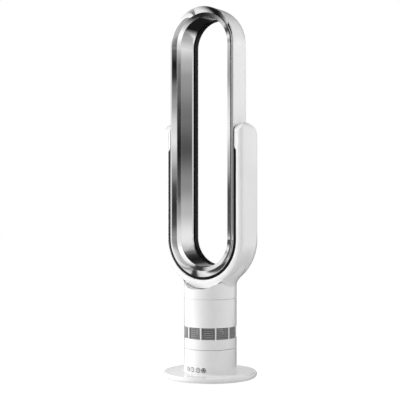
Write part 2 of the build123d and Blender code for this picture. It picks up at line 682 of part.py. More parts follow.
def rear_shell_section():
    """Outer wall, rounded back and inward lip of the loop's main moulding."""
    inner_radius = BACK_RADIUS - LOOP_WALL
    seat = LOOP_FRONT + 2.3
    crown = on_back_arc(BACK_RADIUS, 52)
    inner_end = on_back_arc(inner_radius, 50)
    with BuildLine() as outline:
        Line((LOOP_EDGE, seat), on_back_arc(BACK_RADIUS, 0))
        CenterArc(BACK_CENTRE, BACK_RADIUS, 0, 52)
        ThreePointArc(crown, (71.9, 48.3), (LIP_INNER, LIP_BACK + 0.1))
        Polyline((LIP_INNER, LIP_BACK + 0.1), (72.8, LIP_BACK + 0.1), inner_end)
        CenterArc(BACK_CENTRE, inner_radius, 50, -50)
        Polyline(on_back_arc(inner_radius, 0), (LOOP_EDGE - LOOP_WALL, seat), (LOOP_EDGE, seat))
    make_face(outline.edges())


def front_ring_section():
    """Bright front ring: outer bevel, sloping rim, inner band and a tongue into the shell."""
    bevel = (LOOP_EDGE - 0.8, LOOP_FRONT)
    with BuildLine() as outline:
        Line((LOOP_EDGE, LOOP_FRONT + 1.4), bevel)
        ThreePointArc(bevel, (90.4, -38.1), RIM_INNER)
        Line(RIM_INNER, THROAT_FRONT)
        Polyline(THROAT_FRONT, (73.0, -28.0), (84.0, -31.4), (93.8, -37.0), (93.8, -33.0),
                 (95.8, -33.0), (95.8, LOOP_FRONT + 2.2), (LOOP_EDGE, LOOP_FRONT + 2.2),
                 (LOOP_EDGE, LOOP_FRONT + 1.4))
    make_face(outline.edges())


def throat_section():
    """Inner wall of the loop, bent outwards behind the air slot."""
    with BuildLine() as outline:
        Line((THROAT_FRONT[0] - 0.1, -27.9), THROAT_BACK)
        ThreePointArc(THROAT_BACK, (72.1, 27.0), (74.4, 34.0))
        Line((74.4, 34.0), (76.0, 33.2))
        ThreePointArc((76.0, 33.2), (73.9, 26.5), (73.4, 18.0))
        Polyline((73.4, 18.0), (74.7, -27.9), (THROAT_FRONT[0] - 0.1, -27.9))
    make_face(outline.edges())


def nozzle_lip_section():
    """Dark lip that overlaps the inner wall and leaves the slot the air leaves by."""
    with BuildLine() as outline:
        Polyline((LIP_INNER, LIP_BACK), (LIP_INNER, LIP_FRONT), (71.2, LIP_FRONT - 0.6),
                 (72.0, LIP_FRONT), (72.0, 43.4), (74.4, 43.4), (74.4, LIP_BACK), close=True)
    make_face(outline.edges())


with BuildPart() as loop_rear_shell:
    carry_round(rear_shell_section)
    cut_air_port()
finish(loop_rear_shell, "loop_rear_shell")

with BuildPart() as loop_front_ring:
    carry_round(front_ring_section)
finish(loop_front_ring, "loop_front_ring")

with BuildPart() as loop_throat:
    carry_round(throat_section)
finish(loop_throat, "loop_throat")

with BuildPart() as nozzle_lip:
    carry_round(nozzle_lip_section)
finish(nozzle_lip, "nozzle_lip")

with BuildPart() as nozzle_spacers:
    for height in (400, 520, 640, 760):
        with BuildSketch(Plane.XY.offset(height)):
            with Locations((73.9, 38.9), (-73.9, 38.9)):
                Rectangle(3.6, 8.8)
        extrude(amount=1.6)
finish(nozzle_spacers, "nozzle_spacers")

# ---------------------------------------------------------------- cradle


def cradle_section():
    """Rounded section of a cradle arm, with a step in front for the lining."""
    with BuildLine() as outline:
        Line((CRADLE_NOSE[0], CRADLE_STEP), CRADLE_NOSE)
        ThreePointArc(CRADLE_NOSE, (105.9, -39.8), (107.2, -40.3))
        ThreePointArc((107.2, -40.3), (114.0, -39.8), (119.0, -38.2))
        ThreePointArc((119.0, -38.2), (122.6, -34.2), (123.9, -27.0))
        Line((123.9, -27.0), (124.5, 12.0))
        ThreePointArc((124.5, 12.0), (120.2, 38.4), (105.0, 53.2))
        ThreePointArc((105.0, 53.2), (102.0, 53.0), (CRADLE_BORE, 50.6))
        Polyline((CRADLE_BORE, 50.6), (CRADLE_BORE, CRADLE_STEP), (CRADLE_NOSE[0], CRADLE_STEP))
    make_face(outline.edges())


def hollow_cradle_section():
    """The same section inside its walls."""
    cradle_section()
    offset(amount=-CRADLE_WALL, kind=Kind.INTERSECTION, mode=Mode.REPLACE)


def lining_section():
    """Dark lining between the loop and the cradle, with a lip that fills the front step."""
    inner = LOOP_EDGE + LINING_GAP
    outer = CRADLE_BORE - LINING_GAP
    lip_end = CRADLE_NOSE[0] - 2 * LINING_GAP
    lip_back = CRADLE_STEP - 2 * LINING_GAP
    with BuildLine() as outline:
        Polyline((inner, LINING_FRONT), (lip_end, CRADLE_NOSE[1] + 1.2), (lip_end, lip_back),
                 (outer, lip_back), (outer, 50.0), (inner, 50.0), close=True)
    make_face(outline.edges())


def cheeks(gap, front, mode):
    """Where the front step of each arm is filled near its tip, above a slanting round edge."""
    inner = CRADLE_BORE - gap
    outer = CRADLE_NOSE[0] + 1.0
    with BuildSketch(Plane.XZ.offset(-CRADLE_STEP)) as front_view:
        with BuildLine():
            Polyline((outer, CHEEK_OUTER - gap), (outer, TIP_TOP + 5), (inner, TIP_TOP + 5),
                     (inner, CHEEK_INNER - gap))
            RadiusArc((inner, CHEEK_INNER - gap), (outer, CHEEK_OUTER - gap), -CHEEK_RADIUS)
        make_face()
        mirror(about=Plane.YZ)
    extrude(front_view.sketch, amount=CRADLE_STEP - front, mode=mode)


def cut_tips(grow):
    """Round off the tops of the arms: steep in front and long behind, and domed across."""
    front_height = 29.0 + grow
    back_height = 90.0 + grow
    back_depth = 71.0 + grow
    front_depth = 25.5 + grow
    top = TIP_TOP + grow
    with BuildSketch(Plane.YZ.offset(-MARGIN)) as side_view:
        with BuildLine():
            Polyline((TIP_CREST - front_depth, top - front_height), (-MARGIN, top - front_height),
                     (-MARGIN, MARGIN), (MARGIN, MARGIN), (MARGIN, top - back_height),
                     (TIP_CREST + back_depth, top - back_height))
            EllipticalCenterArc((TIP_CREST, top - back_height), back_depth, back_height,
                                start_angle=0, arc_size=90)
            EllipticalCenterArc((TIP_CREST, top - front_height), front_depth, front_height,
                                start_angle=90, arc_size=90)
        make_face()
    extrude(side_view.sketch, amount=2 * MARGIN, mode=Mode.INTERSECT)
    arm_centre = (ARM_SIDE + CRADLE_BORE) / 2
    dome_reach = (ARM_SIDE - CRADLE_BORE) / 2 + grow
    dome_low = TIP_TOP - DOME_HEIGHT
    with BuildSketch(Plane.XZ.offset(-MARGIN)) as front_view:
        with Locations((0, dome_low / 2)):
            Rectangle(2 * (arm_centre + dome_reach), dome_low)
        with Locations((arm_centre, dome_low), (-arm_centre, dome_low)):
            Ellipse(dome_reach, DOME_HEIGHT + grow)
    extrude(front_view.sketch, amount=2 * MARGIN, mode=Mode.INTERSECT)


NECK_STATIONS = [
    # height, half width and half depth of the flare
    (SHOULDER, BODY_RADIUS, BODY_RADIUS),
    (249.0, 73.8, 63.0),
    (269.0, 92.0, 60.0),
    (290.0, 104.8, 62.0),
    (310.0, 113.0, 64.0),
]


def neck_flare(inset):
    """Flare from the round column up to the underside of the cradle."""
    outlines = []
    for height, across, deep in NECK_STATIONS:
        with BuildSketch(Plane.XY.offset(height)) as outline:
            Ellipse(across - inset, deep - inset)
        outlines.append(outline.sketch)
    loft(outlines)
    with BuildSketch(Plane.XY.offset(SHOULDER)) as between:
        with Locations((0, (NECK_FRONT + NECK_BACK) / 2)):
            Rectangle(300, NECK_BACK - NECK_FRONT - 2 * inset)
    extrude(between.sketch, amount=80, mode=Mode.INTERSECT)
    cut_round_room(NECK_ROOT)


def skirt_form(inset):
    """Part of the flare that runs down each side of the column to the dipping seam."""
    neck_flare(inset)
    keep_above_seam()
    disc(BODY_BORE, SHOULDER - 1, ARCH_LOW, mode=Mode.SUBTRACT)


def crown_form(inset):
    """Part of the flare that hangs above the saddle."""
    neck_flare(inset)
    space_above_saddle(SADDLE_GAP + inset, Mode.INTERSECT)


with BuildPart() as skirt_outside:
    skirt_form(0)

with BuildPart() as crown_outside:
    crown_form(0)

with BuildPart() as skirt_inside:
    skirt_form(CRADLE_WALL)

with BuildPart() as crown_inside:
    crown_form(CRADLE_WALL)

with BuildPart() as cradle_inside:
    carry_round(hollow_cradle_section, low_only=True, height=TIP_TOP)
    cut_tips(-CRADLE_WALL)
    add(crown_inside.part)
    add(skirt_inside.part)

with BuildPart() as cradle:
    carry_round(cradle_section, low_only=True, height=TIP_TOP + 1)
    cheeks(0, CRADLE_NOSE[1] - 1.2, Mode.ADD)
    cut_tips(0)
    add(crown_outside.part)
    add(skirt_outside.part)
    add(cradle_inside.part, mode=Mode.SUBTRACT)
    add(collar.part, mode=Mode.SUBTRACT)
    cut_air_port()

with BuildPart() as cradle_front:
    add(cradle.part)
    split(bisect_by=Plane.XZ.offset(-CRADLE_SPLIT), keep=Keep.TOP)
finish(cradle_front, "cradle_front")

with BuildPart() as cradle_rear:
    add(cradle.part)
    split(bisect_by=Plane.XZ.offset(-CRADLE_SPLIT), keep=Keep.BOTTOM)
finish(cradle_rear, "cradle_rear")

with BuildPart() as cradle_lining:
    carry_round(lining_section, low_only=True, height=TIP_TOP + 3)
    cheeks(LINING_GAP, LINING_FRONT - 2, Mode.SUBTRACT)
    cut_tips(1.4)
    cut_air_port()
finish(cradle_lining, "cradle_lining")

with BuildPart() as neck_duct:
    with BuildSketch(Plane.XY.offset(DUCT_LOW)):
        with Locations((0, DUCT_Y)):
            RectangleRounded(*DUCT)
            RectangleRounded(DUCT[0] - 2 * DUCT_WALL, DUCT[1] - 2 * DUCT_WALL,
                             DUCT[2] - DUCT_WALL, mode=Mode.SUBTRACT)
    extrude(amount=DUCT_HIGH - DUCT_LOW)
    cut_round_room(LOOP_EDGE - 6)
finish(neck_duct, "neck_duct")

print(len(made), "pieces")
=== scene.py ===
"""Looks of the bladeless tower fan: finishes, printed marks, floor, light and camera.

Metres, +Z up, the front is -Y. An azimuth is in degrees, counted from the front towards +X.
"""

import json
from math import cos, degrees, pi, radians, sin

import bmesh
import bpy
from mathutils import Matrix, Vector


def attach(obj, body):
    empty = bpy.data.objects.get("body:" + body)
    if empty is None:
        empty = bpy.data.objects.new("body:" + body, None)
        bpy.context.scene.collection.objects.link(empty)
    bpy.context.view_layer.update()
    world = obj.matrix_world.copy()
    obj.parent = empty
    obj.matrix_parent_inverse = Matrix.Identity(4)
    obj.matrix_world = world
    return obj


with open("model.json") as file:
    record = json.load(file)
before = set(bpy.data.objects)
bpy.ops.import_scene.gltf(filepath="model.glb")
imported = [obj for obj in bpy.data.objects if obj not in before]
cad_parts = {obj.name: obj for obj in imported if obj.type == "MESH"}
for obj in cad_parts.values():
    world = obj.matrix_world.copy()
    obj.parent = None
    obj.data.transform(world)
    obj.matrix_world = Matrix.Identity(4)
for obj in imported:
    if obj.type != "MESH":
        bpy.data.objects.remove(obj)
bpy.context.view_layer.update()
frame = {"nodes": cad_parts, "record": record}

# ---------------------------------------------------------------- view of the photograph
IMAGE_SIZE = 400            # pixels, both ways
FOCAL_PIXELS = 1065.0
AXIS_COLUMN = 210.3         # pixel column of the fan's axis
HORIZON_ROW = 192.0         # pixel row at the camera's own height
SENSOR = 36.0               # millimetres
VIEW_AZIMUTH = 34.5
VIEW_DISTANCE = 2.770
VIEW_HEIGHT = 0.4804

# ---------------------------------------------------------------- texture of the finishes
# Scales are in cycles per metre
PLASTIC_TINT_SCALE = 14.0
PLASTIC_GLOSS_SCALE = 60.0
GRAIN_SCALE = 900.0
GRAIN_DEPTH = 0.00003
COAT_ROUGHNESS = 0.04
METAL_TINT_SCALE = 9.0
SMEAR_SCALE = 40.0
SMEAR_DETAIL = 4.0
PAPER_TINT_SCALE = 3.0
PAPER_ROUGHNESS = 0.9
TINT_LOW = 0.3              # noise up to here shows the first tint
TINT_HIGH = 0.7             # and from here on the second

# ---------------------------------------------------------------- marks printed on the buttons
# In millimetres; the four faces lie on one cylinder round the column's axis
MM = 0.001
BUTTON_HEIGHT = 27.0
FACE_RADIUS = 68.9
INNER_BUTTON = 7.3          # azimuth of the two inner buttons, one on each side of the front
OUTER_BUTTON = 20.3         # and of the two outer ones
MARK_LOW = FACE_RADIUS - 0.15
MARK_HIGH = FACE_RADIUS + 0.08
LINE_WIDTH = 0.8
RING_RADIUS = 5.35
RING_WIDTH = 1.3
RING_STEPS = 40
# A fan blade of the speed mark, and the foot of the swing mark, as (side, up)
BLADE = [(0.0, -0.3), (1.5, 0.9), (2.1, 2.3), (1.5, 3.6), (0.1, 4.0), (-1.2, 3.5), (-1.6, 2.2),
         (-1.3, 0.7)]
SWING_FOOT = (0.0, -2.6)

# ---------------------------------------------------------------- floor
FLOOR_RADIUS = 9.0
FLOOR_SIDES = 96
FLOOR_SEEN = 1.11           # plain brightness that the camera sees of the floor
FLOOR_SHARE = 0.87          # its share; the rest is lit paper, which keeps the fan's shadow
# The floor in reflections: where each soft step starts and ends, and how bright it gets.
# In front it is bright, but it darkens a metre or two to the left and pales again a long way
# off. Behind it is bright at the right, dim at the far left and dark between.
FRONT_LEFT = (-1.0, -0.35, 0.0)
FRONT_STEP = (1.8, 0.9)     # along FRONT_LEFT
FAR_STEP = (2.0, 7.0)       # away from the fan
FAR_LEVEL = 0.7
BACK_RIGHT_STEP = (0.3, 1.2)
BACK_LEFT_STEP = (-0.8, -2.6)
BACK_LEFT_LEVEL = 0.3
BEHIND_STEP = (-0.3, 0.3)   # from the front half of the floor to the back half
LEAST_LEVEL = 0.012

# ---------------------------------------------------------------- the room in reflections
WORLD_LIGHT = 0.36          # strength of the even light from all round
# Brightness by the upward slope of the reflected ray, for each zone of azimuths and all round
SLOPE_SPAN = 0.2
ZONE_CORE = 0.8             # a zone is full within this share of its half width
ZONE_RIM = 1.3              # and gone beyond this one
STUDIO = [
    # azimuth, half width of the zone, and its stops
    (15.0, 28.0, [(-0.2, 1.0), (0.0, 0.9), (0.2, 0.9)]),
    (-70.0, 7.0, [(-0.2, 0.5), (-0.06, 0.3), (-0.03, 0.1), (0.0, 0.07), (0.026, 0.5), (0.06, 1.0),
                  (0.083, 0.85), (0.11, 0.4), (0.2, 0.5)]),
    (-101.0, 8.0, [(-0.2, 0.14), (0.0, 0.17), (0.2, 0.25)]),
    (-87.0, 9.0, [(-0.2, 0.03), (0.04, 0.03), (0.07, 0.23), (0.2, 0.25)]),
]
STUDIO_ROUND = [(-0.2, 0.85), (0.0, 0.7), (0.1, 0.75), (0.2, 0.9)]
# Brightness of steeper rays by azimuth: pale at the right and the left front, dim at the back
# left and dark elsewhere
STEEP_STEP = (0.13, 0.3)
STUDIO_ABOVE = [(-180, 0.015), (-163, 0.03), (-148, 0.26), (-120, 0.3), (-95, 0.04), (-76, 0.08),
                (-62, 1.0), (-47, 0.8), (-36, 0.05), (-20, 0.04), (5, 0.5), (40, 0.9), (140, 0.9),
                (147, 0.58), (156, 0.16), (166, 0.04), (180, 0.015)]

# ---------------------------------------------------------------- cards and lamps
# Graded cards that are seen only in reflections: the point of the loop that each one faces,
# where it stands from there, the share of its half width where its edge starts to fade, and
# its brightness by height
HEIGHT_SPAN = 1.0           # a profile by height may reach this high, above the fan's top
CARD_ENDS = 0.025           # height over which each end fades
CARDS = {
    "rim_card": {
        "faces": (-0.0875, -0.0357), "distance": 0.125, "azimuth": 28.5,
        "half_width": 0.030, "edge": 0.85,
        "stops": [(0.29, 0.9), (0.33, 0.85), (0.36, 0.3), (0.395, 0.08), (0.44, 0.04), (0.49, 0.08),
                  (0.53, 0.3), (0.58, 0.65), (0.62, 0.95), (0.66, 0.8), (0.72, 0.4), (0.76, 0.25),
                  (0.80, 0.04), (0.83, 0.015), (0.865, 0.12), (0.90, 0.8), (1.0, 0.95)],
    },
    "bevel_card": {
        "faces": (-0.078, -0.0315), "distance": 0.12, "azimuth": 0.5,
        "half_width": 0.0075, "edge": 0.75,
        "stops": [(0.335, 1.0), (0.36, 0.9), (0.43, 0.33), (0.475, 0.1), (0.60, 0.01),
                  (0.69, 0.045), (0.76, 0.14), (0.82, 0.22), (0.885, 0.7)],
    },
    "throat_card": {
        "faces": (-0.0723, -0.006), "distance": 0.18, "azimuth": 141.0,
        "half_width": 0.026, "edge": 0.55,
        "stops": [(0.32, 1.0), (0.36, 0.95), (0.43, 0.55), (0.50, 0.3), (0.60, 0.1),
                  (0.69, 0.19), (0.80, 0.36), (0.835, 0.5), (0.90, 0.95)],
    },
}
# Small lamps that brighten the mirrored left corners of the loop: brightness by height, which
# fades in from right to left
GLOW_SPOT = (-0.066, -0.062)
GLOW_WIDTH = 0.076
GLOW_AZIMUTH = 14.0
GLOW_STEP = (-0.032, -0.055)
GLOWS = {
    "upper_glow": [(0.868, 0.0), (0.886, 0.48), (0.905, 0.48), (0.927, 0.0)],
    "lower_glow": [(0.292, 0.0), (0.314, 0.5), (0.332, 0.5), (0.350, 0.0)],
}
# Large lamps round the fan; aim is the height on the fan's axis that each one faces
SOFTBOXES = {
    "key": {"azimuth": -57, "distance": 2.2, "height": 0.9, "size": (1.4, 1.8),
            "brightness": 9.2, "aim": 0.5},
    "side": {"azimuth": 98, "distance": 1.4, "height": 1.2, "size": (1.0, 0.8),
             "brightness": 5.0, "aim": 0.7},
}


# ---------------------------------------------------------------- places, objects and camera
def polar(azimuth, distance, height=0.0):
    """Point at a distance from the fan's axis, in the direction of an azimuth."""
    turn = radians(azimuth)
    return Vector((distance * sin(turn), -distance * cos(turn), height))


def add_object(name, data):
    """A new object in the scene."""
    thing = bpy.data.objects.new(name, data)
    bpy.context.scene.collection.objects.link(thing)
    return thing


def make_camera():
    """Level camera that looks at the fan's axis from the front right."""
    data = bpy.data.cameras.new("camera")
    data.sensor_width = SENSOR
    data.lens = FOCAL_PIXELS * SENSOR / IMAGE_SIZE
    data.shift_x = (IMAGE_SIZE / 2 - AXIS_COLUMN) / IMAGE_SIZE
    data.shift_y = (HORIZON_ROW - IMAGE_SIZE / 2) / IMAGE_SIZE
    camera = add_object("camera", data)
    camera.location = polar(VIEW_AZIMUTH, VIEW_DISTANCE, VIEW_HEIGHT)
    camera.rotation_euler = (pi / 2, 0, radians(VIEW_AZIMUTH))
    bpy.context.scene.camera = camera


# ---------------------------------------------------------------- node graphs
class Graph:
    """The nodes of a material, a lamp or the world, with short ways to add to them."""

    def __init__(self, owner):
        owner.use_nodes = True
        self.nodes = owner.node_tree.nodes
        self.links = owner.node_tree.links

    def add(self, kind, **settings):
        """A new node with its settings."""
        node = self.nodes.new(kind)
        for name, value in settings.items():
            setattr(node, name, value)
        return node

    def feed(self, socket, value):
        """Give a socket a number, or link another node's output to it."""
        if isinstance(value, (int, float)):
            socket.default_value = value
        else:
            self.links.new(value, socket)

    def place(self):
        """Place on the object, in metres."""
        return self.add("ShaderNodeTexCoord").outputs["Object"]

    def noise(self, scale, detail=2.0):
        """Noise fixed to the object."""
        node = self.add("ShaderNodeTexNoise")
        self.feed(node.inputs["Scale"], scale)
        self.feed(node.inputs["Detail"], detail)
        self.feed(node.inputs["Vector"], self.place())
        return node.outputs["Fac"]

    def maths(self, operation, *values):
        """One sum; each value is an output or a number."""
        node = self.add("ShaderNodeMath", operation=operation)
        for socket, value in zip(node.inputs, values):
            self.feed(socket, value)
        return node.outputs[0]

    def along(self, vector, direction):
        """How far a vector reaches along a fixed direction."""
        node = self.add("ShaderNodeVectorMath", operation="DOT_PRODUCT")
        self.feed(node.inputs[0], vector)
        node.inputs[1].default_value = direction
        return node.outputs["Value"]

    def length(self, vector):
        """Length of a vector."""
        node = self.add("ShaderNodeVectorMath", operation="LENGTH")
        self.feed(node.inputs[0], vector)
        return node.outputs["Value"]

    def between(self, factor, low, high):
        """A value that a factor from 0 to 1 moves from low to high."""
        node = self.add("ShaderNodeMapRange")
        self.feed(node.inputs["To Min"], low)
        self.feed(node.inputs["To Max"], high)
        self.feed(node.inputs["Value"], factor)
        return node.outputs["Result"]

    def step(self, value, start, end):
        """0 up to the start, 1 from the end on, and a soft ramp between them."""
        node = self.add("ShaderNodeMapRange", interpolation_type="SMOOTHSTEP")
        self.feed(node.inputs["From Min"], start)
        self.feed(node.inputs["From Max"], end)
        self.feed(node.inputs["Value"], value)
        return node.outputs["Result"]

    def mixed(self, factor, low, high):
        """Mix of two values; each is an output or a number."""
        node = self.add("ShaderNodeMix")
        for socket, value in zip((node.inputs[0], node.inputs[2], node.inputs[3]),
                                 (factor, low, high)):
            self.feed(socket, value)
        return node.outputs[0]

    def tinted(self, factor, low, high):
        """Mix of two near colours."""
        node = self.add("ShaderNodeValToRGB")
        tints = ((TINT_LOW, low), (TINT_HIGH, high))
        for element, (position, colour) in zip(node.color_ramp.elements, tints):
            element.position = position
            element.color = (*colour, 1)
        self.feed(node.inputs["Fac"], factor)
        return node.outputs["Color"]

    def profile(self, value, span, stops):
        """Brightness by a value from -span to span; a stop is a value and its brightness."""
        spread = self.add("ShaderNodeMapRange")
        self.feed(spread.inputs["From Min"], -span)
        self.feed(spread.inputs["From Max"], span)
        self.feed(spread.inputs["Value"], value)
        ramp = self.add("ShaderNodeValToRGB")
        ramp.color_ramp.interpolation = "EASE"
        elements = ramp.color_ramp.elements
        while len(elements) < len(stops):
            elements.new(0.5)
        for element, (stop, level) in zip(elements, stops):
            element.position = (stop + span) / (2 * span)
            element.color = (level, level, level, 1)
        self.feed(ramp.inputs["Fac"], spread.outputs["Result"])
        return ramp.outputs["Color"]

    def reflected(self, path):
        """1 for a ray that was reflected or came through something clear, and else 0."""
        return self.maths("MAXIMUM", path.outputs["Is Glossy Ray"],
                          path.outputs["Is Transmission Ray"])

    def show(self, factor, first, second):
        """Show a mix of two shaders on the surface."""
        share = self.add("ShaderNodeMixShader")
        for socket, value in zip(share.inputs, (factor, first.outputs[0], second.outputs[0])):
            self.feed(socket, value)
        self.feed(self.nodes["Material Output"].inputs["Surface"], share.outputs[0])


def new_material(name):
    """A new material, its graph and its Principled shader."""
    material = bpy.data.materials.new(name)
    graph = Graph(material)
    return material, graph, graph.nodes["Principled BSDF"]


# ---------------------------------------------------------------- finishes
def moulded(name, low, high, roughness, grain=GRAIN_SCALE, relief=0.15, coat=0.0, specular=0.5):
    """Moulded plastic: slight mottling, uneven gloss and a fine grain."""
    material, graph, shader = new_material(name)
    tint = graph.tinted(graph.noise(PLASTIC_TINT_SCALE), low, high)
    graph.feed(shader.inputs["Base Color"], tint)
    gloss = graph.between(graph.noise(PLASTIC_GLOSS_SCALE), *roughness)
    graph.feed(shader.inputs["Roughness"], gloss)
    bump = graph.add("ShaderNodeBump")
    graph.feed(bump.inputs["Strength"], relief)
    graph.feed(bump.inputs["Distance"], GRAIN_DEPTH)
    graph.feed(bump.inputs["Height"], graph.noise(grain))
    graph.feed(shader.inputs["Normal"], bump.outputs["Normal"])
    graph.feed(shader.inputs["Specular IOR Level"], specular)
    graph.feed(shader.inputs["Coat Weight"], coat)
    graph.feed(shader.inputs["Coat Roughness"], COAT_ROUGHNESS)
    return material


def metal(name, low, high, roughness):
    """Metal with faint smears in its polish."""
    material, graph, shader = new_material(name)
    graph.feed(shader.inputs["Metallic"], 1.0)
    tint = graph.tinted(graph.noise(METAL_TINT_SCALE), low, high)
    graph.feed(shader.inputs["Base Color"], tint)
    gloss = graph.between(graph.noise(SMEAR_SCALE, SMEAR_DETAIL), *roughness)
    graph.feed(shader.inputs["Roughness"], gloss)
    return material


def grey(level, warm=0.0):
    """A near-neutral colour."""
    return (level * (1 + warm), level, level * (1 - warm))


# Each finish: its two tints, its range of roughness, and what sets it apart
PLASTICS = {
    "white_gloss": dict(low=grey(0.80), high=grey(0.83), roughness=(0.10, 0.16), coat=0.4,
                        relief=0.03),
    "dark_trim": dict(low=grey(0.005), high=grey(0.009), roughness=(0.32, 0.42), specular=0.1),
    "grille_grey": dict(low=grey(0.24), high=grey(0.29), roughness=(0.35, 0.5), grain=2500.0,
                        relief=0.6),
    "inner_plastic": dict(low=grey(0.05), high=grey(0.07), roughness=(0.45, 0.6)),
    "slippery_plastic": dict(low=grey(0.60, 0.03), high=grey(0.66, 0.03), roughness=(0.3, 0.4)),
    "rubber_black": dict(low=grey(0.02), high=grey(0.03), roughness=(0.7, 0.85), relief=0.4),
    "circuit_board": dict(low=(0.02, 0.14, 0.06), high=(0.03, 0.18, 0.08), roughness=(0.35, 0.5)),
}
METALS = {
    "smoked_mirror": dict(low=grey(0.80), high=grey(0.84), roughness=(0.045, 0.065)),
    "cast_weight": dict(low=grey(0.12), high=grey(0.17), roughness=(0.55, 0.75)),
    "screw_steel": dict(low=grey(0.55), high=grey(0.62), roughness=(0.2, 0.35)),
    "motor_steel": dict(low=grey(0.45), high=grey(0.52), roughness=(0.25, 0.4)),
    "pin_brass": dict(low=(0.75, 0.55, 0.25), high=(0.8, 0.6, 0.3), roughness=(0.2, 0.3)),
}


def make_finishes():
    """Every finish, by its name."""
    finishes = {name: moulded(name, **look) for name, look in PLASTICS.items()}
    for name, look in METALS.items():
        finishes[name] = metal(name, **look)
    return finishes


def dress_nodes(finishes):
    """Give every CAD node the finish that the record names for it."""
    for row in frame["record"]["subparts"]:
        mesh = frame["nodes"][row["node"]].data
        mesh.materials.clear()
        mesh.materials.append(finishes[row["material_slot"]])


# ---------------------------------------------------------------- printed marks
def on_face(azimuth, side, up, radius):
    """Point over a button's face: side and up from its centre, in millimetres."""
    return polar(azimuth + degrees(side / FACE_RADIUS), radius, BUTTON_HEIGHT + up) * MM


def join_rings(form, first, second):
    """Faces between two rings of as many corners."""
    for index in range(len(first)):
        following = (index + 1) % len(first)
        form.faces.new((first[index], first[following], second[following], second[index]))


def print_strip(form, azimuth, points, width, closed):
    """A printed line of even width along points given as (side, up); a closed one joins its ends."""
    count = len(points)
    stations = []
    for index, (side, up) in enumerate(points):
        before = points[index - 1] if closed or index > 0 else points[0]
        after = points[(index + 1) % count] if closed or index < count - 1 else points[-1]
        run = Vector((after[0] - before[0], after[1] - before[1])).normalized()
        half = Vector((-run.y, run.x)) * width / 2
        corners = [(side + half.x, up + half.y, MARK_LOW), (side + half.x, up + half.y, MARK_HIGH),
                   (side - half.x, up - half.y, MARK_HIGH), (side - half.x, up - half.y, MARK_LOW)]
        stations.append([form.verts.new(on_face(azimuth, *corner)) for corner in corners])
    next_stations = stations[1:] + stations[:1] if closed else stations[1:]
    for first, second in zip(stations, next_stations):
        join_rings(form, first, second)
    if not closed:
        form.faces.new(stations[0])
        form.faces.new(stations[-1])


def print_patch(form, azimuth, points):
    """A filled printed shape inside points given as (side, up)."""
    low = [form.verts.new(on_face(azimuth, side, up, MARK_LOW)) for side, up in points]
    high = [form.verts.new(on_face(azimuth, side, up, MARK_HIGH)) for side, up in points]
    form.faces.new(low)
    form.faces.new(high)
    join_rings(form, low, high)


def arc(radius, start, end, steps, centre=(0.0, 0.0)):
    """Points on an arc; angles in degrees from the right, anticlockwise."""
    turns = [radians(start + (end - start) * step / steps) for step in range(steps + 1)]
    return [(centre[0] + radius * cos(turn), centre[1] + radius * sin(turn)) for turn in turns]


def bar(start, end, steps=4):
    """Points on a straight line."""
    shares = [step / steps for step in range(steps + 1)]
    return [(start[0] + (end[0] - start[0]) * share, start[1] + (end[1] - start[1]) * share)
            for share in shares]


def turned(points, angle):
    """Points turned about the mark's centre by an angle in degrees."""
    cosine = cos(radians(angle))
    sine = sin(radians(angle))
    return [(side * cosine - up * sine, side * sine + up * cosine) for side, up in points]


# The symbol inside each ring, as open lines or as filled patches
MARKS = {
    "power": {
        "azimuth": -OUTER_BUTTON,
        "lines": [arc(radius=2.4, start=130, end=410, steps=20), bar((0, 0.7), (0, 3.6))],
    },
    "timer": {
        "azimuth": -INNER_BUTTON,
        "lines": [bar((0, -0.4), (0, 3.1)), bar((-0.4, 0), (2.3, 0))],
    },
    "swing": {
        "azimuth": INNER_BUTTON,
        "lines": [bar(SWING_FOOT, (-2.5, 1.8)), bar(SWING_FOOT, (2.5, 1.8)),
                  arc(radius=5.2, start=60, end=120, steps=8, centre=SWING_FOOT)],
    },
    "speed": {
        "azimuth": OUTER_BUTTON,
        "patches": [turned(BLADE, angle) for angle in (0, 120, 240)],
    },
}


def make_mark(name, finish, azimuth, lines=(), patches=()):
    """The ring and the symbol printed on one button."""
    form = bmesh.new()
    ring = arc(RING_RADIUS, start=0, end=360, steps=RING_STEPS)
    print_strip(form, azimuth, ring[:-1], RING_WIDTH, closed=True)
    for points in lines:
        print_strip(form, azimuth, points, LINE_WIDTH, closed=False)
    for points in patches:
        print_patch(form, azimuth, points)
    bmesh.ops.triangulate(form, faces=[face for face in form.faces if len(face.verts) > 4])
    bmesh.ops.recalc_face_normals(form, faces=form.faces)
    mesh = bpy.data.meshes.new(f"{name}_mark")
    form.to_mesh(mesh)
    form.free()
    mesh.materials.append(finish)
    mark = add_object(f"{name}_mark", mesh)
    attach(mark, f"{name}_button")


# ---------------------------------------------------------------- stage and light
def floor_in_reflections(graph):
    """Brightness of the floor in reflections, by its place."""
    spot = graph.place()
    near = graph.step(graph.along(spot, FRONT_LEFT), *FRONT_STEP)
    far = graph.maths("MULTIPLY", graph.step(graph.length(spot), *FAR_STEP), FAR_LEVEL)
    front = graph.maths("MAXIMUM", near, far)
    across = graph.along(spot, (1, 0, 0))
    right = graph.step(across, *BACK_RIGHT_STEP)
    left = graph.maths("MULTIPLY", graph.step(across, *BACK_LEFT_STEP), BACK_LEFT_LEVEL)
    back = graph.maths("MAXIMUM", right, left)
    behind = graph.step(graph.along(spot, (0, 1, 0)), *BEHIND_STEP)
    return graph.maths("MAXIMUM", graph.mixed(behind, front, back), LEAST_LEVEL)


